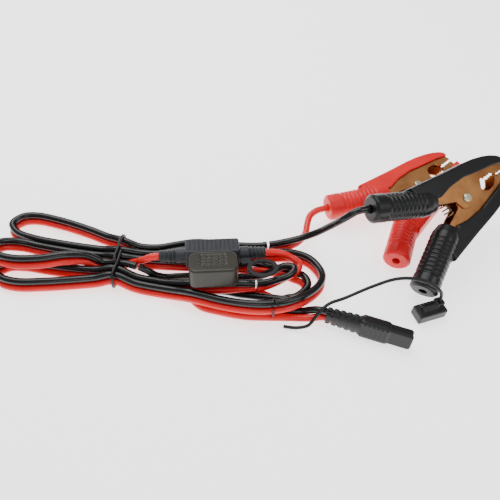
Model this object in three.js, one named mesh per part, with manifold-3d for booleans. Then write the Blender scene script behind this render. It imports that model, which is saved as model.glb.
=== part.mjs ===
// Battery clamp lead set: two sprung copper clamps on a twin cord, with an in-line blade fuse holder
// and a two-pin plug with a tethered dust cap. Millimetres, +Z up, standing on Z = 0.
// The layout is drawn about a datum on the table; ORIGIN moves it so that the origin lies under the
// middle of the clamps and the fuse holder.
import * as THREE from "three";
import { mergeVertices } from "three/addons/utils/BufferGeometryUtils.js";
import Module from "manifold-3d";

// ---- driving dimensions ----
const ORIGIN = new THREE.Vector3(60.6, 24.06, 0);
const GAP = 0.3; // clearance between pieces that touch
const WIRE_R = 2.4; // one insulated conductor of the twin cord
const WIRE_PITCH = 4.9; // between the two conductors' axes
const TETHER_R = 1.1;
const TIE_R = 0.9;
const FINE_TIE_R = 0.7;
// How long each straight step is along a cord of each kind.
const STEP = { twin: 8.5, lead: 6, fuseWire: 5, tether: 5, tie: 4, fineTie: 3 };

// Clamp, seen from its side: X runs to the jaw tip, Z is the way the jaws open, the rivet is at 0,0.
const CLAMP = {
  handle: 70, // rivet to the end of a handle
  jaw: 42, // rivet to the jaw tip
  spread: 26, // degrees between a handle and the middle line
  armHalf: 6, // half width of the cable arm's channel
  innerHalf: 4.7, // half width of the lower arm, which nests in it
  sheet: 1,
  bossR: 7.5,
  rivetR: 2.1,
  rivetHeadR: 3.3,
  gripR: 9.4,
  gripFrom: 24, // where the round grip starts, from the rivet
  ribs: 9,
  ribPitch: 3.1,
  ribDepth: 0.6,
  bootHalf: 7.6, // half width of the boot along the jaw
  boreR: 2.8,
  boreDepth: 13,
};
const CLAMP_POSES = {
  red: { at: [121.8, 59.7, 12.9], turn: [-88, -2.2, 45.7] },
  black: { at: [141, 27.3, 36.2], turn: [-56, -6.5, 42.5] },
};

// Fuse holder: X runs along the wires, -Y is the way the cap comes off.
const HOLDER = {
  at: [-24, -22, 19.2],
  turn: [-12, 0, 8],
  baseHalf: 17.4,
  baseBack: 9,
  baseFront: 5,
  baseHalfThick: 6.2,
  capHalf: 15.2,
  capLength: 19.5,
  capHalfThick: 6.9,
  wall: 1.6,
  collarR: 4.6,
  collarLength: 6,
  ribR: 4.4,
  ribs: 4,
  ribPitch: 2.6,
};

// Plug: X runs from the cord end to the contacts, Z across the two contacts.
const PLUG = {
  at: [50.3, -54.6, 7.7],
  turn: [-15, 0, -15.5],
  relief: 21,
  body: 40,
  length: 53.5,
  halfWide: 6.5,
  halfThick: 4.3,
  tipHalfWide: 5.7,
  tipHalfThick: 3.7,
  contactPitch: 5.8,
};
const DUST_CAP = { at: [117.3, -44.2, 0.4], turn: [0, 0, 22], halfLong: 10, halfWide: 5.2, high: 7.6 };

const RED = 0xd8362f;
const BLACK = 0x1d1f21;
const COPPER = 0xc08048;
const ZINC = 0xc9c8a6;
const BRASS = 0xb9a25a;
const FUSE_PLASTIC = 0xd9b13a;

const wasm = await Module();
wasm.setup();
const scene = new THREE.Group();
scene.position.copy(ORIGIN).negate();

// ---- helpers ----
function solidOf(geometry) {
  const bare = geometry.index ? geometry.toNonIndexed() : geometry.clone();
  bare.deleteAttribute("normal");
  bare.deleteAttribute("uv");
  const merged = mergeVertices(bare, 1e-4);
  const mesh = new wasm.Mesh({
    numProp: 3,
    vertProperties: new Float32Array(merged.attributes.position.array),
    triVerts: new Uint32Array(merged.index.array),
  });
  return new wasm.Manifold(mesh);
}

function geometryOf(solid) {
  const mesh = solid.getMesh();
  const geometry = new THREE.BufferGeometry();
  geometry.setAttribute("position", new THREE.BufferAttribute(mesh.vertProperties, 3));
  geometry.setIndex(new THREE.BufferAttribute(mesh.triVerts, 1));
  return geometry;
}

function joined(first, ...others) {
  return others.reduce((all, one) => all.add(one), first);
}

function cutBy(first, ...others) {
  return others.reduce((all, one) => all.subtract(one), first);
}

function addPart(parent, name, shape, color, roughness, metalness = 0) {
  const geometry = shape.isBufferGeometry ? shape : geometryOf(shape);
  const material = new THREE.MeshStandardMaterial({ color, roughness, metalness });
  const mesh = new THREE.Mesh(geometry, material);
  mesh.name = name;
  parent.add(mesh);
}

function box(x0, x1, y0, y1, z0, z1) {
  const geometry = new THREE.BoxGeometry(x1 - x0, y1 - y0, z1 - z0);
  return solidOf(geometry.translate((x0 + x1) / 2, (y0 + y1) / 2, (z0 + z1) / 2));
}

// A round solid about the X axis: profile is a list of [x, radius].
function turnedX(profile, sides = 20) {
  const points = profile.map(([x, r]) => new THREE.Vector2(r, x));
  return solidOf(new THREE.LatheGeometry(points, sides).rotateZ(-Math.PI / 2));
}

// A round solid about the Y axis: profile is a list of [y, radius].
function turnedY(profile, sides = 20) {
  const points = profile.map(([y, r]) => new THREE.Vector2(r, y));
  return solidOf(new THREE.LatheGeometry(points, sides));
}

// A plate: an outline of [x, z] points, from y0 to y1.
function plate(outline, y0, y1) {
  const shape = new THREE.Shape(outline.map(([x, z]) => new THREE.Vector2(x, z)));
  const geometry = new THREE.ExtrudeGeometry(shape, { depth: y1 - y0, bevelEnabled: false });
  return solidOf(geometry.rotateX(Math.PI / 2).translate(0, y1, 0));
}

function mirrored(outline) {
  return outline.map(([x, z]) => [x, -z]).reverse();
}

// A smooth route through [x, y, z, roll] points, whose section stays upright and leans by roll degrees.
function routeOf(points) {
  const curve = new THREE.CatmullRomCurve3(
    points.map(([x, y, z]) => new THREE.Vector3(x, y, z)),
    false,
    "centripetal",
  );
  curve.arcLengthDivisions = 1200;
  const rollAt = (t) => {
    const place = t * (points.length - 1);
    const i = Math.min(Math.floor(place), points.length - 2);
    const roll = (k) => points[k][3] ?? 0;
    return THREE.MathUtils.degToRad(THREE.MathUtils.lerp(roll(i), roll(i + 1), place - i));
  };
  curve.computeFrenetFrames = (steps) => {
    const frames = { tangents: [], normals: [], binormals: [] };
    for (let i = 0; i <= steps; i++) {
      const tangent = curve.getTangentAt(i / steps);
      const side = new THREE.Vector3(-tangent.y, tangent.x, 0).normalize();
      const up = new THREE.Vector3().crossVectors(tangent, side);
      const roll = rollAt(curve.getUtoTmapping(i / steps));
      frames.tangents.push(tangent);
      frames.normals.push(side.clone().multiplyScalar(Math.cos(roll)).addScaledVector(up, -Math.sin(roll)));
      frames.binormals.push(up.multiplyScalar(Math.cos(roll)).addScaledVector(side, Math.sin(roll)));
    }
    return frames;
  };
  return curve;
}

function sweep(points, section, step) {
  const path = routeOf(points);
  const steps = Math.max(2, Math.round(path.getLength() / step));
  const shape = new THREE.Shape(section);
  const geometry = new THREE.ExtrudeGeometry(shape, { extrudePath: path, steps, bevelEnabled: false });
  return solidOf(geometry);
}

function roundSection(radius, sides = 8) {
  const turn = (i) => (2 * Math.PI * (i + 0.5)) / sides;
  return Array.from({ length: sides }, (_, i) =>
    new THREE.Vector2(radius * Math.cos(turn(i)), radius * Math.sin(turn(i))),
  );
}

const TWIN_SECTION = [
  [1, 0.54], [0.54, 1], [-0.54, 1], [-1, 0.54], [-1, -0.54], [-0.54, -1], [0.54, -1], [1, -0.54],
].map(([x, y]) => {
  const flat = Math.sign(y) * (WIRE_PITCH / 2);
  return new THREE.Vector2(x * WIRE_R, flat + y * WIRE_R);
});

function placed(parent, at, turn) {
  const group = new THREE.Group();
  const [x, y, z] = turn.map(THREE.MathUtils.degToRad);
  group.position.set(...at);
  group.rotation.set(x, y, z, "ZYX");
  parent.add(group);
  return group;
}

// ---- clamps ----
const spreadRad = THREE.MathUtils.degToRad(CLAMP.spread);
const alongHandle = (s, off) => [
  -s * Math.cos(spreadRad) + off * Math.sin(spreadRad),
  s * Math.sin(spreadRad) + off * Math.cos(spreadRad),
];

// The folded side of the upper arm: jaw teeth along the bottom, then the boss round the rivet.
function armOutline(grow) {
  const teeth = [];
  const toothPitch = 2.4;
  for (let i = 0; i < 4; i++) {
    teeth.push([CLAMP.jaw - i * toothPitch, 0.4 - grow]);
    teeth.push([CLAMP.jaw - (i + 0.5) * toothPitch, 1.5 - grow]);
  }
  return [
    [CLAMP.jaw + grow, 5.5],
    ...teeth,
    [31.5, 0.4 - grow],
    [28.5, 4.6 - grow],
    [23, 6.4 - grow],
    [17.5, 4.2 - grow],
    [14, -2.6 - grow],
    [7, -CLAMP.bossR + 0.6 - grow],
    [0, -CLAMP.bossR - grow],
    [-6.5 - grow, -4.6],
    [-9.5 - grow, 2.4],
    alongHandle(18, -2.6 - grow),
    alongHandle(59 + grow, -3 - grow),
    alongHandle(59 + grow, 4 + grow),
    alongHandle(20, 7.4 + grow),
    [-4, 19.6 + grow],
    [12, 17.4 + grow],
    [33, 11.4 + grow],
  ];
}

// The sheet that joins the two sides along the outer edge.
function webOutline(top) {
  const outer = [
    [CLAMP.jaw, 5.5],
    [33, 11.4],
    [12, 17.4],
    [-4, 19.6],
    alongHandle(20, 7.4),
    alongHandle(59, 4),
  ];
  const inner = [
    alongHandle(59, 4 - CLAMP.sheet),
    alongHandle(20.4, 7.4 - CLAMP.sheet),
    [-4, 19.6 - CLAMP.sheet],
    [11.6, 17.4 - CLAMP.sheet],
    [32.5, 11.4 - CLAMP.sheet],
    [CLAMP.jaw - 1.2, 5.2],
  ];
  return top ? [...outer, ...inner] : mirrored([...outer, ...inner]);
}

function clampArm(top, half) {
  const outline = top ? armOutline(0) : mirrored(armOutline(0));
  const hole = turnedY([[-9, 0], [-9, CLAMP.rivetR + GAP], [9, CLAMP.rivetR + GAP], [9, 0]], 16);
  const sides = [
    plate(outline, half - CLAMP.sheet, half),
    plate(outline, -half, CLAMP.sheet - half),
  ];
  return cutBy(joined(plate(webOutline(top), -half, half), ...sides), hole);
}

// A soft boot: a round grip with shallow rings on the handle, narrowed towards the rivet so that the
// grips clear each other when squeezed, and a hood over the back of the jaw.
function boot(top, half) {
  const end = CLAMP.handle + 2;
  const { gripR, gripFrom, ribs, ribPitch, ribDepth, bootHalf, boreR, boreDepth } = CLAMP;
  const grip = [[-end, 0], [-end, gripR - 1.6], [-end + 1.4, gripR], [-end + 9.5, gripR]];
  for (let i = 0; i < ribs; i++) {
    const from = -end + 10.5 + i * ribPitch;
    grip.push([from + 0.5, gripR - ribDepth], [from + 1.1, gripR - ribDepth]);
    grip.push([from + 1.6, gripR - 0.1], [from + ribPitch, gripR - 0.1]);
  }
  grip.push([-30, gripR - 0.4], [-gripFrom, 7.2], [-gripFrom, 0]);
  const bore = [
    [-end - 1, 0],
    [-end - 1, boreR],
    [-end + boreDepth, boreR],
    [-end + boreDepth, 0],
  ];
  const shape = new THREE.Shape(
    [
      [43.8, 4.6], [43.4, 8], [41, 10.8], [36, 13.8], [30, 16.4], [22, 18.8], [12, 20.8],
      [2, 22.2], [-8, 23.6], [-20, 25.6], [-36, 28.2], [-34, 15], [-18, 10.6], [-8, 12.4],
      [6, 12.2], [20, 9.4], [32, 7], [40, 4.6],
    ].map(([x, z]) => new THREE.Vector2(x, z)),
  );
  const soft = 1.2;
  const hoodBlock = new THREE.ExtrudeGeometry(shape, {
    depth: 2 * (bootHalf - 2),
    bevelThickness: 2,
    bevelSize: soft,
    bevelOffset: -soft,
    bevelSegments: 3,
  });
  const hood = solidOf(hoodBlock.rotateX(Math.PI / 2).translate(0, bootHalf - 2, 0));
  const lean = (solid) => solid.rotate([0, CLAMP.spread, 0]);
  const pocket = plate(armOutline(GAP), -half - GAP, half + GAP);
  const made = cutBy(joined(lean(turnedX(grip, 24)), hood), pocket, lean(turnedX(bore, 12)));
  return top ? made : made.rotate([180, 0, 0]);
}

function rivet() {
  const head = CLAMP.armHalf + GAP;
  return turnedY([
    [-head - 1.5, 0],
    [-head - 1.5, CLAMP.rivetHeadR - 0.8],
    [-head, CLAMP.rivetHeadR],
    [-head, CLAMP.rivetR],
    [head, CLAMP.rivetR],
    [head, CLAMP.rivetHeadR],
    [head + 1.5, CLAMP.rivetHeadR - 0.8],
    [head + 1.5, 0],
  ]);
}

// The closing spring stands across the gap between the arms, behind the rivet.
function spring() {
  const turns = 4;
  const half = 5;
  const points = [];
  for (let i = 0; i <= turns * 10; i++) {
    const angle = (2 * Math.PI * i) / 10;
    const z = -half + (2 * half * i) / (turns * 10);
    points.push([-14.5 + 2.9 * Math.cos(angle), 2.9 * Math.sin(angle), z]);
  }
  const path = new THREE.CatmullRomCurve3(points.map((p) => new THREE.Vector3(...p)));
  const shape = new THREE.Shape(roundSection(0.55, 6));
  const options = { extrudePath: path, steps: turns * 10, bevelEnabled: false };
  return solidOf(new THREE.ExtrudeGeometry(shape, options));
}

// The crimp barrel that holds the bare strands, inside the grip at the end of the cable arm.
function crimp() {
  const near = -CLAMP.handle + CLAMP.boreDepth + 0.2;
  const tube = turnedX([[near, 0], [near, 2.5], [near + 10, 2.5], [near + 10, 0]], 12);
  const bore = turnedX([[near - 1, 0], [near - 1, 1.7], [near + 8, 1.7], [near + 8, 0]], 12);
  return cutBy(tube, bore).rotate([0, CLAMP.spread, 0]);
}

function addClamp(colour, paint) {
  const pose = CLAMP_POSES[colour];
  const group = placed(scene, pose.at, pose.turn);
  addPart(group, colour + "_cable_arm", clampArm(true, CLAMP.armHalf), COPPER, 0.35, 1);
  addPart(group, colour + "_lower_arm", clampArm(false, CLAMP.innerHalf), COPPER, 0.35, 1);
  addPart(group, colour + "_cable_boot", boot(true, CLAMP.armHalf), paint, 0.4);
  addPart(group, colour + "_lower_boot", boot(false, CLAMP.innerHalf), paint, 0.4);
  addPart(group, colour + "_rivet", rivet(), ZINC, 0.4, 1);
  addPart(group, colour + "_spring", spring(), BRASS, 0.35, 1);
  addPart(group, colour + "_crimp", crimp(), ZINC, 0.4, 1);
}
addClamp("red", RED);
addClamp("black", BLACK);

// ---- fuse holder ----
// A block with rounded corners in plan and softened top and bottom edges.
function slab(x0, x1, y0, y1, z0, z1, radius, soft) {
  const shape = new THREE.Shape();
  shape.absarc(x1 - radius, y0 + radius, radius, -Math.PI / 2, 0);
  shape.absarc(x1 - radius, y1 - radius, radius, 0, Math.PI / 2);
  shape.absarc(x0 + radius, y1 - radius, radius, Math.PI / 2, Math.PI);
  shape.absarc(x0 + radius, y0 + radius, radius, Math.PI, Math.PI * 1.5);
  const geometry = new THREE.ExtrudeGeometry(shape, {
    depth: z1 - z0 - 2 * soft,
    bevelThickness: soft,
    bevelSize: soft,
    bevelOffset: -soft,
    bevelSegments: 2,
    curveSegments: 4,
  });
  return solidOf(geometry.translate(0, 0, z0 + soft));
}

// The ringed sleeve where a wire goes into the holder, pointing along +X from its root.
function wireSleeve() {
  const { collarR, collarLength, ribR, ribs, ribPitch } = HOLDER;
  const profile = [[-2, 0], [-2, collarR], [collarLength, collarR], [collarLength + 0.8, ribR - 1.1]];
  for (let i = 0; i < ribs; i++) {
    const from = collarLength + 0.8 + i * ribPitch;
    profile.push([from + 0.6, ribR - 0.15 * i]);
    profile.push([from + ribPitch - 1, ribR - 0.15 * i]);
    profile.push([from + ribPitch - 0.4, ribR - 1.1]);
  }
  profile.push([collarLength + 0.8 + ribs * ribPitch, 0]);
  return turnedX(profile, 16);
}

// The wire's way in: a bore that ends inside the block, at the terminal's pocket.
function wireBore() {
  return turnedX([[-5, 0], [-5, WIRE_R + GAP], [22, WIRE_R + GAP], [22, 0]], 12);
}

function onHolderSide(solid, side) {
  const turned = side > 0 ? solid : solid.rotate([0, 0, 180]);
  return turned.translate([side * HOLDER.baseHalf, 0, 0]);
}

function fuseBase() {
  const { baseHalf, baseBack, baseFront, baseHalfThick } = HOLDER;
  const block = slab(-baseHalf, baseHalf, -baseFront, baseBack, -baseHalfThick, baseHalfThick, 1.5, 0.8);
  const tongue = box(-11.4, 11.4, -10.2, 0, -4.2, 4.2);
  let made = joined(block, tongue, onHolderSide(wireSleeve(), 1), onHolderSide(wireSleeve(), -1));
  const grooves = [];
  for (let i = -5; i <= 5; i++) {
    grooves.push(box(i * 2.8 - 0.4, i * 2.8 + 0.4, -3.6, 7.6, baseHalfThick - 0.4, 8));
  }
  made = cutBy(made, ...grooves);
  for (const side of [1, -1]) {
    made = cutBy(
      made,
      onHolderSide(wireBore(), side),
      box(Math.min(side * 3, side * 12.8), Math.max(side * 3, side * 12.8), -11, 2.6, -2.2, 2.2),
    );
  }
  return made;
}

function fuseCap() {
  const { capHalf, capLength, capHalfThick, baseFront, wall } = HOLDER;
  const back = -baseFront - GAP;
  const front = back - capLength;
  const outside = slab(-capHalf, capHalf, front, back, -capHalfThick, capHalfThick, 4.5, 1.2);
  const inside = box(wall - capHalf, capHalf - wall, front + wall, back + 1, -5, 5);
  const grip = [];
  for (let i = 0; i < 4; i++) {
    grip.push(box(-8.5, 8.5, back - 4.6 - i * 2.8, back - 3.6 - i * 2.8, capHalfThick - 0.5, 9));
  }
  for (let i = -2; i <= 2; i++) {
    grip.push(box(i * 3.6 - 0.5, i * 3.6 + 0.5, back - 14, back - 3, capHalfThick - 0.35, 9));
  }
  return cutBy(outside, inside, ...grip);
}

// The flat keeper ring that hangs from the side of the base.
function keeperRing() {
  const outer = turnedX([[-0.8, 0], [-0.8, 8.4], [0.8, 8.4], [0.8, 0]], 24);
  const hole = turnedX([[-2, 0], [-2, 5.9], [2, 5.9], [2, 0]], 24);
  const flat = (solid) => solid.rotate([0, 90, 0]).scale([1.2, 1, 1]).translate([31, -15.5, 0]);
  const link = box(HOLDER.baseHalf + GAP, 24.5, -11, -5.1, -0.8, 0.8);
  return cutBy(joined(flat(outer), link), flat(hole));
}

function fuseBody() {
  const shell = slab(-9.4, 9.4, -22.4, -10.6, -2.5, 2.5, 1, 0.4);
  return cutBy(shell, box(-8.8, 8.8, -19.8, -10, -0.7, 0.7));
}

function fuseElement() {
  const blades = [
    box(3.7, 8.5, -19.5, -3.2, -0.35, 0.35),
    box(-8.5, -3.7, -19.5, -3.2, -0.35, 0.35),
  ];
  return joined(...blades, box(-4, 4, -19.5, -18, -0.35, 0.35));
}

// Each terminal lies under its blade, with a stem that reaches to the inner end of the wire's bore.
function terminal(side) {
  const tongue = box(3.9, 8.3, -9.6, 1.4, -1.4, -0.8);
  const stem = box(8, 12.3, -1.4, 1.4, -1.4, -0.8);
  const made = joined(tongue, stem);
  return side > 0 ? made : made.mirror([1, 0, 0]);
}

const holder = placed(scene, HOLDER.at, HOLDER.turn);
addPart(holder, "fuse_base", fuseBase(), 0x3b3e42, 0.5);
addPart(holder, "fuse_cap", fuseCap(), 0x2b2620, 0.35);
addPart(holder, "keeper_ring", keeperRing(), BLACK, 0.5);
addPart(holder, "fuse_body", fuseBody(), FUSE_PLASTIC, 0.3);
addPart(holder, "fuse_element", fuseElement(), ZINC, 0.4, 1);
addPart(holder, "terminal_left", terminal(-1), BRASS, 0.4, 1);
addPart(holder, "terminal_right", terminal(1), BRASS, 0.4, 1);

// ---- plug and dust cap ----
function plugBody() {
  const { relief, body, length, halfWide, halfThick, tipHalfWide, tipHalfThick, contactPitch } = PLUG;
  const rings = 5;
  const pitch = (relief - 0.5) / rings;
  const profile = [[0, 0], [0, 0.86]];
  for (let i = 0; i < rings; i++) {
    const grow = 0.88 + 0.12 * (i / (rings - 1));
    profile.push([i * pitch + 2.6, grow], [i * pitch + 3, grow - 0.1], [(i + 1) * pitch, grow - 0.1]);
    profile.push([(i + 1) * pitch + 0.3, grow + 0.02]);
  }
  profile.push([relief + 2, 1], [relief + 2, 0]);
  const sleeve = turnedX(profile.map(([x, r]) => [x, r * halfThick]), 20);
  const lay = (solid) => solid.rotate([90, 0, 0]);
  const parts = [
    sleeve.scale([1, 1, (halfWide + 0.6) / halfThick]),
    lay(slab(relief, body, -halfWide, halfWide, -halfThick, halfThick, 2.4, 1.4)),
    lay(slab(body - 4, length, -tipHalfWide, tipHalfWide, -tipHalfThick, tipHalfThick, 2, 1.2)),
  ];
  for (let i = 0; i < 6; i++) {
    const from = relief + 2.4 + i * 2.7;
    parts.push(box(from, from + 1.3, -halfThick - 0.4, halfThick + 0.4, -4.4, 4.4));
  }
  const recess = (z, radius, deep) =>
    turnedX([[length - deep, 0], [length - deep, radius], [length + 1, radius], [length + 1, 0]], 16)
      .translate([0, 0, z]);
  const cordWay = box(-1, 8.5, -WIRE_R - 0.5, WIRE_R + 0.5, -5.2, 5.2);
  return cutBy(
    joined(...parts),
    recess(contactPitch / 2, 2.3, 12),
    recess(-contactPitch / 2, 2.1, 12),
    cordWay,
  );
}

function plugPin() {
  const far = PLUG.length - 11.7;
  const profile = [
    [far, 0],
    [far, 1.4],
    [PLUG.length - 2, 1.4],
    [PLUG.length - 1, 0.7],
    [PLUG.length - 1, 0],
  ];
  return turnedX(profile, 12).translate([0, 0, PLUG.contactPitch / 2]);
}

function plugSocket() {
  const far = PLUG.length - 11.7;
  const near = PLUG.length - 0.6;
  const tube = turnedX([[far, 0], [far, 1.8], [near, 1.8], [near, 0]], 12);
  const bore = turnedX([[far + 1.5, 0], [far + 1.5, 1.25], [near + 1, 1.25], [near + 1, 0]], 12);
  return cutBy(tube, bore).translate([0, 0, -PLUG.contactPitch / 2]);
}

function dustCap() {
  const { halfLong, halfWide, high } = DUST_CAP;
  const block = slab(-halfLong, halfLong, -halfWide, halfWide, 0, high, 1, 0.8);
  const peg = turnedX([[-7, 0], [-7, 2.2], [-6.4, 2.8], [5, 2.8], [5, 0]], 16).translate([0, 0.8, high]);
  const pad = slab(3.5, 9.2, -1.2, 4.6, high - 1, high + 3.2, 0.8, 0.5);
  const pocket = box(-6.5, halfLong + 1, -3.9, 3.9, 1.5, high - 1.5);
  return cutBy(joined(block, peg, pad), pocket);
}

const plug = placed(scene, PLUG.at, PLUG.turn);
addPart(plug, "plug_body", plugBody(), BLACK, 0.55);
addPart(plug, "plug_pin", plugPin(), BRASS, 0.3, 1);
addPart(plug, "plug_socket", plugSocket(), BRASS, 0.3, 1);
const dustCapGroup = placed(scene, DUST_CAP.at, DUST_CAP.turn);
addPart(dustCapGroup, "dust_cap", dustCap(), BLACK, 0.5);

// ---- cords ----
// Each point is x, y, z and, for the twin cord, how far it leans: 0 stands on edge with black on top.
const TWIN_PLUG_SIDE = [
  [55.2, -55.96, 7.82, -15], [52, -55.07, 7.82, -15], [49, -54.24, 7.77, -15], [46, -53.6, 7.02, -28],
  [43, -53.2, 5.82, -48], [36, -52.9, 3.42, -85], [28, -53, 2.92, -90], [14, -54, 2.92, -90],
  [0, -54.5, 2.92, -90], [-16, -52.5, 2.92, -90], [-28, -49.5, 2.92, -90], [-33, -43.5, 2.92, -90],
  [-26, -37.5, 2.92, -90], [-15, -36.5, 2.92, -90], [-4.7, -38, 2.92, -90], [10, -41, 4.32, -60],
  [17, -43, 4.92, -35], [24, -44.5, 5.12, -10], [30, -43.6, 5.22, 10], [35.5, -39.5, 5.22, 0],
  [39, -33.5, 5.22, 0], [37.4, -28.2, 5.22, -25], [34.8, -25.4, 4.92, -52], [31.4, -23.7, 4.02, -75],
  [24.3, -20.3, 3.02, -85], [10, -17.6, 3.02, -85], [2, -18.4, 4.62, -55], [-5.9, -19.6, 5.22, -20],
  [-20, -20.5, 5.22, 0], [-40, -21, 5.22, 0], [-60, -21.5, 5.22, 0], [-75, -22, 6.12, 0],
  [-86, -22.2, 7.82, 0], [-98, -21, 5.62, 0], [-112, -19.9, 5.22, 0], [-130, -17.9, 5.22, 0],
  [-143, -16, 5.22, 0], [-153, -15.6, 7.12, 0], [-163, -19.5, 11.12, 0], [-166.5, -26, 13.62, 0],
  [-162, -33, 15.32, 0], [-150, -36, 15.32, 0], [-132, -34.5, 15.52, 0], [-118, -30.7, 15.72, 0],
  [-106, -27.2, 12.32, 0], [-96, -27, 6.62, 0], [-86, -27.4, 7.82, 0], [-79, -26.9, 9.72, -40],
  [-72, -28.3, 12.12, -85],
];
const TWIN_CLAMP_SIDE = [
  [5, -38.8, 11.2], [-8, -40, 10.9], [-22, -41.5, 10.5], [-34, -42.3, 10.7],
  [-44, -41, 8], [-54, -39.3, 5.6], [-60, -38.2, 5.1], [-72, -36.5, 5.2],
  [-86, -32.6, 7.7], [-98, -33, 5.5], [-112, -33, 5.1], [-130, -32, 5.1],
  [-146, -30.3, 5.1], [-157, -31.5, 5.1], [-163, -37.5, 5.1], [-157.5, -44, 5.1],
  [-147, -46.5, 5.1], [-130, -45, 5.1], [-112, -42, 5.1], [-98, -39.5, 5.5],
  [-86, -37.8, 7.7], [-72, -41.2, 5.2], [-58, -43.4, 5.1], [-46, -46, 7],
  [-34, -49.5, 10.4], [-16, -53.2, 10.6], [-3, -55.2, 11.4], [10, -55.5, 12],
  [23, -53, 12], [32, -48.8, 11.4], [41, -41.5, 9.5], [47, -33, 8],
  [48.7, -25.5, 6.5], [46.4, -17.5, 5.2], [40, -10.4, 5.1], [30, -7, 5.1],
  [15, -8, 5.1], [0, -9.2, 5.1], [-20, -8.5, 5.1], [-38, -8.8, 5.1],
  [-50, -12.1, 5.1], [-62, -15.9, 5.1], [-75, -16.8, 6], [-86, -16.8, 7.7],
  [-98, -15.8, 5.5], [-112, -14.6, 5.1], [-130, -12.6, 5.1], [-147, -9.9, 5.1],
  [-160, -5.5, 5.1], [-165.5, 2, 5.1], [-161, 9, 5.1], [-152, 11, 5.1],
  [-134, 8, 5.1], [-112, 1.5, 5.1], [-98, -4, 5.5], [-86, -8.5, 7.7],
  [-75, -11, 5.5], [-62, -10.5, 5.1], [-50, -6.8, 5.1], [-38, -3.5, 5.1],
  [-20, -3.2, 5.1], [-5, -3.6, 5.1], [6, -2.5, 5.5], [12, -1.5, 6.5],
];
const BLACK_BYPASS = [
  [-70.8, -30.9, 12.3], [-66, -31.8, 10.5], [-60, -32, 5.8], [-54, -30.9, 3.1], [-47, -29.5, 2.7],
  [-30, -27.2, 2.7], [-15, -26.7, 2.7], [-5, -26.4, 2.9], [8, -25.7, 4.7],
  [16, -24.4, 9], [23, -22.6, 13], [29.5, -24.5, 14.6], [27, -30, 14.2],
  [18, -34.9, 13.8], [11, -37.6, 13.7], [5.9, -38.6, 13.7],
];
const RED_TO_FUSE = [
  [-70.8, -26.1, 12.6], [-68, -26.7, 14.6], [-64, -27.6, 18.1], [-60.5, -27.2, 19.2],
  [-50, -25.7, 19.2], [-41, -24.4, 19.2],
];
const RED_FROM_FUSE = [
  [-7, -19.6, 19.2], [4, -18.1, 19.2], [13, -16.8, 19.1], [20, -15.6, 17.4], [27, -15.5, 14],
  [33, -18.5, 11.4], [31.5, -24, 10], [25, -28.6, 9.1], [17, -34.2, 8.8], [11, -37.4, 8.8],
  [5.9, -38.6, 8.8],
];
const BLACK_LEAD = [
  [12.9, -1.4, 8.95], [17, -0.7, 9.5], [33, 2.4, 13], [44, 2.6, 20], [52.5, 0, 31], [59, -2.6, 41],
  [66, -1.2, 46.7], [74.4, 1.8, 46.4], [84.6, 5.7, 44.8],
];
const RED_LEAD = [
  [12.9, -1.4, 4.05], [24, -0.1, 5], [32.5, 4.5, 6], [38, 12, 7.5], [39.5, 20.5, 9],
  [41.5, 27.5, 10.3], [46.5, 32.4, 11.2], [54, 35.4, 11.5], [64.4, 39.2, 11.7],
];
const TETHER = [
  [122.5, -40.2, 11.8], [122.4, -40.1, 14.5], [120, -40.2, 20.8], [112.5, -38, 25.5], [102, -36, 26.4],
  [91.5, -36, 24.6], [77, -40.5, 21], [60, -47, 15.5], [52, -50.5, 14.8], [47.3, -54.2, 13.8],
  [43, -58.5, 9.5], [39, -61.5, 4.5], [32, -62, 1.9], [24, -61.5, 1.6],
];
const TIE_LEFT = [
  [-84.6, -20, 14.2], [-85, -30, 14], [-86, -38.5, 13.9], [-86, -42, 11], [-86, -42.2, 4],
  [-86, -39, 1.4], [-86, -30, 1.3], [-86, -15, 1.3], [-86, -7, 1.4], [-86, -4.2, 4],
  [-86, -4.2, 11], [-86.6, -8, 14], [-87.2, -20, 14.2], [-87.2, -26, 14.8], [-86.5, -29, 17.2],
];
const TIE_RIGHT = [
  [17, -58.2, 14], [17, -58.4, 8.4], [17, -56.4, 6.3], [17, -52.6, 6.3], [17, -50.6, 9],
  [17, -50.6, 15], [17.6, -53, 18.3], [18.6, -57, 18.6], [19.4, -58.4, 20.2],
];
addPart(scene, "twin_cord_plug_side", sweep(TWIN_PLUG_SIDE, TWIN_SECTION, STEP.twin), RED, 0.4);
addPart(scene, "twin_cord_clamp_side", sweep(TWIN_CLAMP_SIDE, TWIN_SECTION, STEP.twin), RED, 0.4);
const wire = roundSection(WIRE_R);
addPart(scene, "black_bypass", sweep(BLACK_BYPASS, wire, STEP.lead), BLACK, 0.4);
addPart(scene, "red_to_fuse", sweep(RED_TO_FUSE, wire, STEP.fuseWire), RED, 0.4);
addPart(scene, "red_from_fuse", sweep(RED_FROM_FUSE, wire, STEP.fuseWire), RED, 0.4);
addPart(scene, "black_lead", sweep(BLACK_LEAD, wire, STEP.lead), BLACK, 0.4);
addPart(scene, "red_lead", sweep(RED_LEAD, wire, STEP.lead), RED, 0.4);
addPart(scene, "tether", sweep(TETHER, roundSection(TETHER_R, 6), STEP.tether), BLACK, 0.5);
addPart(scene, "tie_left", sweep(TIE_LEFT, roundSection(TIE_R, 6), STEP.tie), BLACK, 0.5);
addPart(scene, "tie_right", sweep(TIE_RIGHT, roundSection(FINE_TIE_R, 6), STEP.fineTie), BLACK, 0.5);

export default scene;
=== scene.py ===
"""Battery clamp lead set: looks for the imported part. Blender works in metres; the cords' routes are listed
in millimetres about a layout datum, and ORIGIN is the part's own origin in that layout."""

import math

import bpy
import numpy as np
from mathutils import Matrix, Vector


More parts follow.
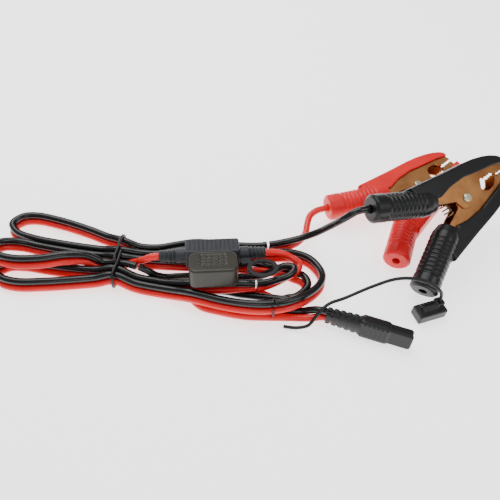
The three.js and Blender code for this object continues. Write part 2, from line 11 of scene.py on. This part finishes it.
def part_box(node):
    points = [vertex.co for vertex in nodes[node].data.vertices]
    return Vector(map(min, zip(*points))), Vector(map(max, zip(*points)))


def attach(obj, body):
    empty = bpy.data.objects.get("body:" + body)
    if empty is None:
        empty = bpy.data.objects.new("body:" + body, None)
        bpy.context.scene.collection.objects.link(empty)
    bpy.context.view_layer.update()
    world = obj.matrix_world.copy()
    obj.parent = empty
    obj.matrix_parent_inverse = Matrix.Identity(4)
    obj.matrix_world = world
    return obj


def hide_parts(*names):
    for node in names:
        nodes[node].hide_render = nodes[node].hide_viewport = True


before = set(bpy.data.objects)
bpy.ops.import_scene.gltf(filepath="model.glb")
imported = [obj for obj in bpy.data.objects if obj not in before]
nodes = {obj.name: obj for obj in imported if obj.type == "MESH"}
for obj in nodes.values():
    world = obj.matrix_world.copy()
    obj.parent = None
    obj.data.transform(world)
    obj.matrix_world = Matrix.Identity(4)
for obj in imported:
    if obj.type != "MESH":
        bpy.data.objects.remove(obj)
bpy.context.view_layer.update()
scene = bpy.context.scene

ORIGIN = Vector((60.6, 24.06, 0.0))
MM = 0.001
WIRE_R = 2.4
PITCH = 4.9  # between the axes of the twin cord's two conductors
TETHER_R = 1.1
TIE_R = 0.9
FINE_TIE_R = 0.7
ROUTE_STEP = 1.3  # between the points of a smoothed cord
TIE_STEP = 0.8
SPANS = 24  # samples between two listed points, before they are spaced evenly
LEAN = 24  # degrees that a run on edge leans back
LEAN_FADE = 14  # millimetres over which the lean comes in at a cord's end
LEAN_START = 0.2  # how far in from the end that begins, as a share of LEAN_FADE
UPRIGHT_WITHIN = 12  # degrees off its edge past which a stretch keeps its own lean

# ---- soft boots: millimetres for the grid, metres from the rivet for the easing ----
BOOT_GRID = 0.45
RINGS_FROM = 0.050
EASE_OVER = 0.010
EASE_ON_GRIP = 0.12
EASE_PASSES = 90
EASE_STEPS = (0.5, -0.52)  # in, then slightly further out, so that it rounds but doesn't shrink
GRIP_END = 0.004  # the length of the far end that gives the grip's direction

# ---- camera ----
SENSOR = 36
ELEVATION = math.radians(50)
ROLL = math.radians(4)
DISTANCE = 365
FOCAL_SHARE = 520 / 500  # focal length over the picture's width


def add_camera():
    data = bpy.data.cameras.new("camera")
    data.sensor_width = SENSOR
    data.lens = SENSOR * FOCAL_SHARE
    data.clip_start, data.clip_end = 0.01, 20
    cam = bpy.data.objects.new("camera", data)
    scene.collection.objects.link(cam)
    across = Vector((1, 0, 0))
    rise = Vector((0, math.sin(ELEVATION), math.cos(ELEVATION)))
    right = across * math.cos(ROLL) + rise * math.sin(ROLL)
    up = rise * math.cos(ROLL) - across * math.sin(ROLL)
    back = Vector((0, -math.cos(ELEVATION), math.sin(ELEVATION)))
    place = (back * DISTANCE - ORIGIN) * MM
    turn = Matrix((right, up, back)).transposed().to_4x4()
    cam.matrix_world = Matrix.Translation(place) @ turn
    scene.camera = cam


add_camera()

# ---- cord routes: x, y, z and the twin's lean ----
TWIN_PLUG_SIDE = [
    (55.2, -55.96, 7.82, -15), (52, -55.07, 7.82, -15), (49, -54.24, 7.77, -15), (46, -53.6, 7.02, -28),
    (43, -53.2, 5.82, -48), (36, -52.9, 3.42, -85), (28, -53, 2.92, -90), (14, -54, 2.92, -90),
    (0, -54.5, 2.92, -90), (-16, -52.5, 2.92, -90), (-28, -49.5, 2.92, -90), (-33, -43.5, 2.92, -90),
    (-26, -37.5, 2.92, -90), (-15, -36.5, 2.92, -90), (-4.7, -38, 2.92, -90), (10, -41, 4.32, -60),
    (17, -43, 4.92, -35), (24, -44.5, 5.12, -10), (30, -43.6, 5.22, 10), (35.5, -39.5, 5.22, 0),
    (39, -33.5, 5.22, 0), (37.4, -28.2, 5.22, -25), (34.8, -25.4, 4.92, -52), (31.4, -23.7, 4.02, -75),
    (24.3, -20.3, 3.02, -85), (10, -17.6, 3.02, -85), (2, -18.4, 4.62, -55), (-5.9, -19.6, 5.22, -20),
    (-20, -20.5, 5.22, 0), (-40, -21, 5.22, 0), (-60, -21.5, 5.22, 0), (-75, -22, 6.12, 0),
    (-86, -22.2, 7.82, 0), (-98, -21, 5.62, 0), (-112, -19.9, 5.22, 0), (-130, -17.9, 5.22, 0),
    (-143, -16, 5.22, 0), (-153, -15.6, 7.12, 0), (-163, -19.5, 11.12, 0), (-166.5, -26, 13.62, 0),
    (-162, -33, 15.32, 0), (-150, -36, 15.32, 0), (-132, -34.5, 15.52, 0), (-118, -30.7, 15.72, 0),
    (-106, -27.2, 12.32, 0), (-96, -27, 6.62, 0), (-86, -27.4, 7.82, 0), (-79, -26.9, 9.72, -40),
    (-72, -28.3, 12.12, -85),
]
TWIN_CLAMP_SIDE = [
    (5, -38.8, 11.2), (-8, -40, 10.9), (-22, -41.5, 10.5), (-34, -42.3, 10.7), (-44, -41, 8),
    (-54, -39.3, 5.6), (-60, -38.2, 5.1), (-72, -36.5, 5.2), (-86, -32.6, 7.7), (-98, -33, 5.5),
    (-112, -33, 5.1), (-130, -32, 5.1), (-146, -30.3, 5.1), (-157, -31.5, 5.1), (-163, -37.5, 5.1),
    (-157.5, -44, 5.1), (-147, -46.5, 5.1), (-130, -45, 5.1), (-112, -42, 5.1), (-98, -39.5, 5.5),
    (-86, -37.8, 7.7), (-72, -41.2, 5.2), (-58, -43.4, 5.1), (-46, -46, 7), (-34, -49.5, 10.4),
    (-16, -53.2, 10.6), (-3, -55.2, 11.4), (10, -55.5, 12), (23, -53, 12), (32, -48.8, 11.4),
    (41, -41.5, 9.5), (47, -33, 8), (48.7, -25.5, 6.5), (46.4, -17.5, 5.2), (40, -10.4, 5.1),
    (30, -7, 5.1), (15, -8, 5.1), (0, -9.2, 5.1), (-20, -8.5, 5.1), (-38, -8.8, 5.1), (-50, -12.1, 5.1),
    (-62, -15.9, 5.1), (-75, -16.8, 6), (-86, -16.8, 7.7), (-98, -15.8, 5.5), (-112, -14.6, 5.1),
    (-130, -12.6, 5.1), (-147, -9.9, 5.1), (-160, -5.5, 5.1), (-165.5, 2, 5.1), (-161, 9, 5.1),
    (-152, 11, 5.1), (-134, 8, 5.1), (-112, 1.5, 5.1), (-98, -4, 5.5), (-86, -8.5, 7.7),
    (-75, -11, 5.5), (-62, -10.5, 5.1), (-50, -6.8, 5.1), (-38, -3.5, 5.1), (-20, -3.2, 5.1),
    (-5, -3.6, 5.1), (6, -2.5, 5.5), (12, -1.5, 6.5),
]
BLACK_BYPASS = [
    (-70.8, -30.9, 12.3), (-66, -31.8, 10.5), (-60, -32, 5.8), (-54, -30.9, 3.1), (-47, -29.5, 2.7),
    (-30, -27.2, 2.7), (-15, -26.7, 2.7), (-5, -26.4, 2.9), (8, -25.7, 4.7), (16, -24.4, 9),
    (23, -22.6, 13), (29.5, -24.5, 14.6), (27, -30, 14.2), (18, -34.9, 13.8), (11, -37.6, 13.7),
    (5.9, -38.6, 13.7),
]
RED_TO_FUSE = [
    (-70.8, -26.1, 12.6), (-68, -26.7, 14.6), (-64, -27.6, 18.1), (-60.5, -27.2, 19.2),
    (-50, -25.7, 19.2), (-41, -24.4, 19.2),
]
RED_FROM_FUSE = [
    (-7, -19.6, 19.2), (4, -18.1, 19.2), (13, -16.8, 19.1), (20, -15.6, 17.4), (27, -15.5, 14),
    (33, -18.5, 11.4), (31.5, -24, 10), (25, -28.6, 9.1), (17, -34.2, 8.8), (11, -37.4, 8.8),
    (5.9, -38.6, 8.8),
]
BLACK_LEAD = [
    (12.9, -1.4, 8.95), (17, -0.7, 9.5), (33, 2.4, 13), (44, 2.6, 20), (52.5, 0, 31), (59, -2.6, 41),
    (66, -1.2, 46.7), (74.4, 1.8, 46.4), (84.6, 5.7, 44.8),
]
RED_LEAD = [
    (12.9, -1.4, 4.05), (24, -0.1, 5), (32.5, 4.5, 6), (38, 12, 7.5), (39.5, 20.5, 9), (41.5, 27.5, 10.3),
    (46.5, 32.4, 11.2), (54, 35.4, 11.5), (64.4, 39.2, 11.7),
]
TETHER = [
    (122.5, -40.2, 11.8), (122.4, -40.1, 14.5), (120, -40.2, 20.8), (112.5, -38, 25.5), (102, -36, 26.4),
    (91.5, -36, 24.6), (77, -40.5, 21), (60, -47, 15.5), (52, -50.5, 14.8), (47.3, -54.2, 13.8),
    (43, -58.5, 9.5), (39, -61.5, 4.5), (32, -62, 1.9), (24, -61.5, 1.6),
]
TIE_LEFT = [
    (-84.6, -20, 14.2), (-85, -30, 14), (-86, -38.5, 13.9), (-86, -42, 11), (-86, -42.2, 4),
    (-86, -39, 1.4), (-86, -30, 1.3), (-86, -15, 1.3), (-86, -7, 1.4), (-86, -4.2, 4),
    (-86, -4.2, 11), (-86.6, -8, 14), (-87.2, -20, 14.2), (-87.2, -26, 14.8), (-86.5, -29, 17.2),
]
TIE_RIGHT = [
    (17, -58.2, 14), (17, -58.4, 8.4), (17, -56.4, 6.3), (17, -52.6, 6.3), (17, -50.6, 9),
    (17, -50.6, 15), (17.6, -53, 18.3), (18.6, -57, 18.6), (19.4, -58.4, 20.2),
]


def smooth_route(points, step=ROUTE_STEP):
    """Centripetal Catmull-Rom through the points: positions and leans, evenly spaced, in millimetres."""
    p = np.array([q[:3] for q in points], float)
    roll = np.array([q[3] if len(q) > 3 else 0 for q in points], float)
    p = np.vstack([2 * p[0] - p[1], p, 2 * p[-1] - p[-2]])
    out, lean = [], []
    for i in range(len(points) - 1):
        a, b, c, d = p[i : i + 4]
        t1 = math.sqrt(np.linalg.norm(b - a))
        t2 = t1 + math.sqrt(np.linalg.norm(c - b))
        t3 = t2 + math.sqrt(np.linalg.norm(d - c))
        for s in np.linspace(0, 1, SPANS, endpoint=False):
            t = t1 + s * (t2 - t1)
            a1 = (t1 - t) / t1 * a + t / t1 * b
            a2 = (t2 - t) / (t2 - t1) * b + (t - t1) / (t2 - t1) * c
            a3 = (t3 - t) / (t3 - t2) * c + (t - t2) / (t3 - t2) * d
            b1 = (t2 - t) / t2 * a1 + t / t2 * a2
            b2 = (t3 - t) / (t3 - t1) * a2 + (t - t1) / (t3 - t1) * a3
            out.append((t2 - t) / (t2 - t1) * b1 + (t - t1) / (t2 - t1) * b2)
            lean.append(roll[i] + s * (roll[i + 1] - roll[i]))
    out.append(p[-2])
    lean.append(roll[-1])
    out, lean = np.array(out), np.array(lean)
    far = np.concatenate([[0], np.cumsum(np.linalg.norm(np.diff(out, axis=0), axis=1))])
    even = np.linspace(0, far[-1], max(8, int(far[-1] / step)))
    return np.stack([np.interp(even, far, out[:, k]) for k in range(3)], 1), np.interp(even, far, lean)


def conductor(points, side):
    """One conductor of the twin cord: side 1 is the black one and -1 the red one."""
    line, lean = smooth_route(points)
    along = np.gradient(line, axis=0)
    along /= np.linalg.norm(along, axis=1)[:, None]
    across = np.stack([-along[:, 1], along[:, 0], np.zeros(len(along))], 1)
    across /= np.linalg.norm(across, axis=1)[:, None]
    up = np.cross(along, across)
    # A run on edge leans back by LEAN degrees; turns, flat stretches and the two ends stay as they are.
    far = np.arange(len(line)) * ROUTE_STEP
    ends = np.clip(np.minimum(far, far[::-1]) / LEAN_FADE - LEAN_START, 0, 1)
    upright = np.clip(1 - np.abs(lean) / UPRIGHT_WITHIN, 0, 1)
    r = np.radians(lean + LEAN * along[:, 0] * upright * ends)[:, None]
    return line + side * PITCH / 2 * (up * np.cos(r) + across * np.sin(r))


# ---- materials: everything is procedural ----
TINT_SCALE = 0.25  # this and the next multiply a material's own noise scale
GRAIN_SCALE = 4
TINT_STOPS = (0.35, 0.65)
GLOSS_RANGE = (0.8, 1.25)  # times the roughness
RELIEF_DEPTH = 0.0002


def shader(name, color, rough, metal=0.0, vary=0.12, bump=0.0, scale=300.0, shine=0.5, dark=None):
    made = bpy.data.materials.new(name)
    made.use_nodes = True
    tree = made.node_tree
    surface = tree.nodes["Principled BSDF"]
    surface.inputs["Metallic"].default_value = metal
    surface.inputs["Specular IOR Level"].default_value = shine
    where = tree.nodes.new("ShaderNodeTexCoord")
    wide = tree.nodes.new("ShaderNodeTexNoise")
    wide.inputs["Scale"].default_value = scale * TINT_SCALE
    wide.inputs["Detail"].default_value = 5
    tree.links.new(where.outputs["Object"], wide.inputs["Vector"])
    tint = tree.nodes.new("ShaderNodeValToRGB")
    low = dark or tuple(c * (1 - vary) for c in color)
    tint.color_ramp.elements[0].position = TINT_STOPS[0]
    tint.color_ramp.elements[0].color = (*low, 1)
    tint.color_ramp.elements[1].position = TINT_STOPS[1]
    tint.color_ramp.elements[1].color = (*color, 1)
    tree.links.new(wide.outputs["Fac"], tint.inputs["Fac"])
    tree.links.new(tint.outputs["Color"], surface.inputs["Base Color"])
    fine = tree.nodes.new("ShaderNodeTexNoise")
    fine.inputs["Scale"].default_value = scale * GRAIN_SCALE
    fine.inputs["Detail"].default_value = 6
    tree.links.new(where.outputs["Object"], fine.inputs["Vector"])
    gloss = tree.nodes.new("ShaderNodeMapRange")
    gloss.inputs["To Min"].default_value = rough * GLOSS_RANGE[0]
    gloss.inputs["To Max"].default_value = rough * GLOSS_RANGE[1]
    tree.links.new(fine.outputs["Fac"], gloss.inputs["Value"])
    tree.links.new(gloss.outputs["Result"], surface.inputs["Roughness"])
    if bump:
        relief = tree.nodes.new("ShaderNodeBump")
        relief.inputs["Strength"].default_value = bump
        relief.inputs["Distance"].default_value = RELIEF_DEPTH
        tree.links.new(fine.outputs["Fac"], relief.inputs["Height"])
        tree.links.new(relief.outputs["Normal"], surface.inputs["Normal"])
    return made


RED_SOFT = shader("red_boot", (0.80, 0.010, 0.014), 0.40, vary=0.12, bump=0.10, shine=0.35)
BLACK_SOFT = shader("black_boot", (0.0035, 0.0038, 0.0048), 0.36, vary=0.3, bump=0.10, shine=0.35)
RED_WIRE = shader("red_wire", (0.80, 0.008, 0.009), 0.30, vary=0.10, bump=0.04, shine=0.4)
BLACK_WIRE = shader("black_wire", (0.0025, 0.0027, 0.0034), 0.26, vary=0.3, bump=0.04, shine=0.45)
COPPER = shader("copper_sheet", (0.60, 0.27, 0.10), 0.34, 1.0, bump=0.12, scale=220,
                dark=(0.36, 0.15, 0.055))
SPRING = shader("spring_brass", (0.34, 0.27, 0.16), 0.34, 1.0, vary=0.35)
RIVET = shader("rivet_zinc", (0.66, 0.64, 0.46), 0.34, 1.0, vary=0.22, bump=0.15)
BRASS = shader("contact_brass", (0.72, 0.55, 0.25), 0.25, 1.0, vary=0.2)
HOLDER = shader("holder_grey", (0.020, 0.023, 0.028), 0.5, vary=0.25, bump=0.25, shine=0.4)
CAP = shader("holder_cap", (0.020, 0.016, 0.008), 0.36, vary=0.3, bump=0.12, shine=0.4)
RUBBER = shader("black_rubber", (0.0045, 0.005, 0.006), 0.42, vary=0.3, bump=0.2, shine=0.4)
FUSE = shader("fuse_plastic", (0.75, 0.50, 0.05), 0.2, vary=0.1)
TIE = shader("tie_black", (0.006, 0.006, 0.007), 0.36, vary=0.3, bump=0.1, shine=0.4)


# ---- cords and ties ----
def tube(name, line, radius, material, node):
    """A round cord along a line of points in layout millimetres, in place of its CAD node."""
    data = bpy.data.curves.new(name, "CURVE")
    data.dimensions = "3D"
    data.bevel_depth = radius * MM
    data.bevel_resolution = 4
    data.use_fill_caps = True
    spline = data.splines.new("POLY")
    spline.points.add(len(line) - 1)
    line = [(Vector(p) - ORIGIN) * MM for p in line]
    spline.points.foreach_set("co", [c for p in line for c in (*p, 1.0)])
    spline.use_smooth = True
    made = bpy.data.objects.new(name, data)
    scene.collection.objects.link(made)
    data.materials.append(material)
    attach(made, "set")
    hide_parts(node)
    return made, line


def free_cord(name, line, radius, material, node):
    """A cord along the line, in place of its CAD node: it runs from the line's first point."""
    made, route = tube(name, line, radius, material, node)


def tie(name, points, radius):
    """A tie round the folded cord: a thin tube along its points, in place of its CAD node."""
    line, _ = smooth_route(points, TIE_STEP)
    made, _ = tube(name + "_look", line, radius, TIE, name)
    return made


ties = [tie("tie_left", TIE_LEFT, TIE_R), tie("tie_right", TIE_RIGHT, FINE_TIE_R)]
for colour, side, paint_on, on_it in (("black", 1, BLACK_WIRE, ties), ("red", -1, RED_WIRE, [])):
    free_cord("twin_plug_side_" + colour, conductor(TWIN_PLUG_SIDE, side)[::-1], WIRE_R, paint_on,
              "twin_cord_plug_side")
    free_cord("twin_clamp_side_" + colour, conductor(TWIN_CLAMP_SIDE, side), WIRE_R, paint_on,
              "twin_cord_clamp_side")
for name, points, paint_on, slot in (
    ("black_bypass", BLACK_BYPASS, BLACK_WIRE, "black_wire"),
    ("red_to_fuse", RED_TO_FUSE, RED_WIRE, "red_wire"),
    ("red_from_fuse", RED_FROM_FUSE, RED_WIRE, "red_wire"),
    ("black_lead", BLACK_LEAD, BLACK_WIRE, "black_wire"),
    ("red_lead", RED_LEAD, RED_WIRE, "red_wire"),
):
    free_cord(name + "_look", smooth_route(points)[0], WIRE_R, paint_on, name)
free_cord("tether_look", smooth_route(TETHER)[0][::-1], TETHER_R, RUBBER, "tether")


# ---- CAD nodes: material, softened edges ----
def paint(node, material):
    made = nodes[node]
    made.data.materials.clear()
    made.data.materials.append(material)
    return made


def moulded(node, material, grain, passes):
    """A piece rebuilt on a fine grid and smoothed, so that every edge is rounded."""
    made = paint(node, material)
    grid = made.modifiers.new("grid", "REMESH")
    grid.mode = "VOXEL"
    grid.voxel_size = grain * MM
    grid.use_smooth_shade = True
    ease = made.modifiers.new("ease", "SMOOTH")
    ease.factor = 0.5
    ease.iterations = passes


def soft_boot(colour, name, body, material):
    """A clamp's boot: the CAD shape on a fine grid, eased hard on its hood and lightly on its rings."""
    node = f"{colour}_{name}"
    source = nodes[node].copy()
    source.data = nodes[node].data.copy()
    scene.collection.objects.link(source)
    grid = source.modifiers.new("grid", "REMESH")
    grid.mode = "VOXEL"
    grid.voxel_size = BOOT_GRID * MM
    seen = source.evaluated_get(bpy.context.evaluated_depsgraph_get())
    data = bpy.data.meshes.new_from_object(seen)
    bpy.data.objects.remove(source)
    count = len(data.vertices)
    place = np.empty(count * 3)
    data.vertices.foreach_get("co", place)
    place = place.reshape(count, 3)
    edges = np.empty(len(data.edges) * 2, int)
    data.edges.foreach_get("vertices", edges)
    one, other = edges.reshape(-1, 2).T
    share = np.bincount(one, minlength=count) + np.bincount(other, minlength=count)
    low_corner, high_corner = (np.array(corner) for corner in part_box(colour + "_rivet"))
    out = place - (low_corner + high_corner) / 2
    far = np.linalg.norm(out, axis=1)
    grip_way = out[far > far.max() - GRIP_END].mean(axis=0)
    along = out @ (grip_way / np.linalg.norm(grip_way))
    weight = np.clip((RINGS_FROM - along) / EASE_OVER, EASE_ON_GRIP, 1)[:, None]
    for _ in range(EASE_PASSES):
        for strength in EASE_STEPS:
            total = np.stack([
                np.bincount(one, place[other, k], count) + np.bincount(other, place[one, k], count)
                for k in range(3)
            ], 1)
            place += strength * weight * (total / share[:, None] - place)
    data.vertices.foreach_set("co", place.ravel())
    data.polygons.foreach_set("use_smooth", [True] * len(data.polygons))
    data.materials.clear()
    data.materials.append(material)
    made = bpy.data.objects.new(node + "_look", data)
    scene.collection.objects.link(made)
    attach(made, body)
    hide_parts(node)


def pressed(node, material, radius):
    """Sheet metal or a hard moulding: its edges are broken by a small radius."""
    made = paint(node, material)
    edge = made.modifiers.new("edge", "BEVEL")
    edge.width = radius * MM
    edge.segments = 2
    edge.limit_method = "ANGLE"
    edge.angle_limit = math.radians(35)
    edge.harden_normals = True
    for face in made.data.polygons:
        face.use_smooth = True


for colour, soft in (("red", RED_SOFT), ("black", BLACK_SOFT)):
    for arm in ("cable_arm", "lower_arm"):
        pressed(f"{colour}_{arm}", COPPER, 0.16)
    soft_boot(colour, "cable_boot", "set", soft)
    soft_boot(colour, "lower_boot", colour + "_lower_jaw", soft)
    moulded(f"{colour}_rivet", RIVET, 0.25, 4)
    moulded(f"{colour}_spring", SPRING, 0.18, 3)
    pressed(f"{colour}_crimp", RIVET, 0.1)
moulded("fuse_base", HOLDER, 0.3, 2)
moulded("fuse_cap", CAP, 0.3, 4)
moulded("keeper_ring", RUBBER, 0.25, 4)
moulded("fuse_body", FUSE, 0.25, 2)
paint("fuse_element", RIVET)
paint("terminal_left", BRASS)
paint("terminal_right", BRASS)
moulded("plug_body", RUBBER, 0.3, 4)
moulded("plug_pin", BRASS, 0.2, 2)
moulded("plug_socket", BRASS, 0.2, 2)
moulded("dust_cap", RUBBER, 0.3, 3)


# ---- stage ----
FLOOR_LEVEL = -0.0006  # just under the part
LAMPS_AIM = Vector((-0.02, -0.02, 0.0))


def add_floor():
    bpy.ops.mesh.primitive_plane_add(size=6, location=(0, 0, FLOOR_LEVEL))
    floor = bpy.context.object
    floor.name = "floor"
    made = shader("floor", (0.95, 0.95, 0.95), 0.8, vary=0.01)
    glow = made.node_tree.nodes["Principled BSDF"].inputs
    glow["Emission Color"].default_value = (1, 1, 1, 1)
    glow["Emission Strength"].default_value = 1.7
    floor.data.materials.append(made)


def add_light(name, place, size, power):
    data = bpy.data.lights.new(name, "AREA")
    data.shape = "DISK"
    data.size = size
    data.energy = power
    lamp = bpy.data.objects.new(name, data)
    scene.collection.objects.link(lamp)
    lamp.location = place
    lamp.rotation_euler = (LAMPS_AIM - Vector(place)).to_track_quat("-Z", "Y").to_euler()


add_floor()
add_light("key", (-0.30, 0.35, 0.8), 0.9, 9)
add_light("fill", (0.6, -0.3, 0.8), 0.5, 2.5)
add_light("front", (-0.1, -0.9, 0.6), 0.5, 1.5)
world = bpy.data.worlds.new("studio")
scene.world = world
world.use_nodes = True
world.node_tree.nodes["Background"].inputs["Color"].default_value = (1, 1, 1, 1)
world.node_tree.nodes["Background"].inputs["Strength"].default_value = 0.4
